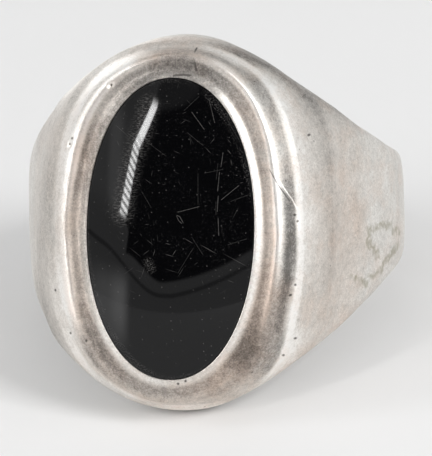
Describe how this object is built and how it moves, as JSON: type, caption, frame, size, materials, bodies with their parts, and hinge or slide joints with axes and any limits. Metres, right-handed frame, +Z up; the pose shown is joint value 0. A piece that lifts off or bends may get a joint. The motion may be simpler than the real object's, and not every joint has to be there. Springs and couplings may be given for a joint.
{
  "type": "signet ring",
  "caption": "Silver signet ring with a long oval black stone, a moulded rim, a wide tapering head and a narrow plain back, lying on its side.",
  "frame": {"origin": "on the resting plane, under the middle of the ring's box", "axes": "+Z up as the ring rests, +X across the finger hole, and the stone faces -Y, leant back by about 22 degrees"},
  "size_m": [0.023, 0.0278, 0.0215],
  "materials": {
    "silver": "worn sterling silver, soft grey patina with brown tarnish in the hollows and burnished edges",
    "onyx": "polished black onyx with fine wear scratches"
  },
  "bodies": {
    "root": {"ring_body": "silver", "stone": "onyx"}
  },
  "joints": []
}
